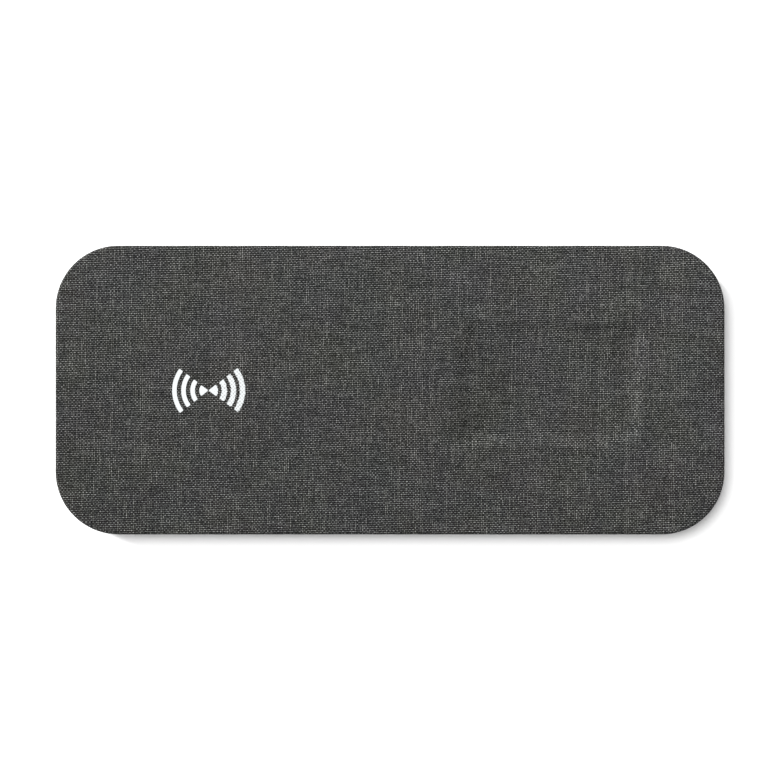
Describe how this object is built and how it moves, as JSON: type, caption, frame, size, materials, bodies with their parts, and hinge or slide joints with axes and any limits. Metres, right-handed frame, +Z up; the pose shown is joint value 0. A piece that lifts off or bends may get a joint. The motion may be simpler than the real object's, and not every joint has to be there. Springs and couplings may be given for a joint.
{
  "type": "wireless charging pad",
  "caption": "Flat oblong wireless charging pad with rounded corners, a heathered woven cover, a printed transmit symbol and a shallow rest for a small case.",
  "frame": {"origin": "on the table, under the middle of the pad's outline", "axes": "+X along the pad towards the end with the shallow rest, +Y towards the back edge with the inlet, +Z up out of the charging surface"},
  "size_m": [0.22, 0.095, 0.01],
  "materials": {
    "cover_fabric": "heathered charcoal plain weave",
    "white_print": "matt white transfer print",
    "glue_film": "dull pale film",
    "lid_plastic": "fine moulded texture",
    "base_plastic": "fine spark-eroded moulded texture",
    "screw_steel": "zinc-plated",
    "foot_rubber": "dull moulded rubber",
    "coil_copper": "enamelled stranded copper",
    "ferrite_ceramic": "sintered, dull",
    "grey_foam": "closed-cell foam",
    "sensor_epoxy": "dipped epoxy",
    "lead_insulation": "smooth insulation",
    "board_laminate": "solder mask",
    "chip_package": "moulded package",
    "capacitor_body": "moulded package",
    "capacitor_ceramic": "fired ceramic",
    "inlet_steel": "nickel-plated",
    "inlet_plastic": "moulded insert",
    "contact_gold": "gold flash",
    "led_package": "translucent package",
    "clear_plastic": "clear moulded light pipe"
  },
  "bodies": {
    "root": {"fabric_cover": "cover_fabric", "charge_symbol": "white_print", "cover_glue_film": "glue_film", "top_shell": "lid_plastic", "bottom_shell": "base_plastic", "housing_screws": "screw_steel", "rubber_foot_front_left": "foot_rubber", "rubber_foot_back_left": "foot_rubber", "rubber_foot_front_right": "foot_rubber", "rubber_foot_back_right": "foot_rubber", "phone_coil": "coil_copper", "phone_coil_ferrite": "ferrite_ceramic", "phone_coil_foam": "grey_foam", "phone_coil_leads": "coil_copper", "temperature_sensor": "sensor_epoxy", "sensor_leads": "lead_insulation", "small_coil": "coil_copper", "small_coil_ferrite": "ferrite_ceramic", "small_coil_foam": "grey_foam", "small_coil_leads": "coil_copper", "circuit_board": "board_laminate", "board_screws": "screw_steel", "controller_chip": "chip_package", "bridge_chips": "chip_package", "power_inductor": "ferrite_ceramic", "input_capacitors": "capacitor_body", "resonant_capacitors": "capacitor_ceramic", "small_passives": "capacitor_ceramic", "usb_c_shell": "inlet_steel", "usb_c_tongue": "inlet_plastic", "usb_c_contacts": "contact_gold", "status_led": "led_package", "light_pipe": "clear_plastic"}
  },
  "joints": []
}
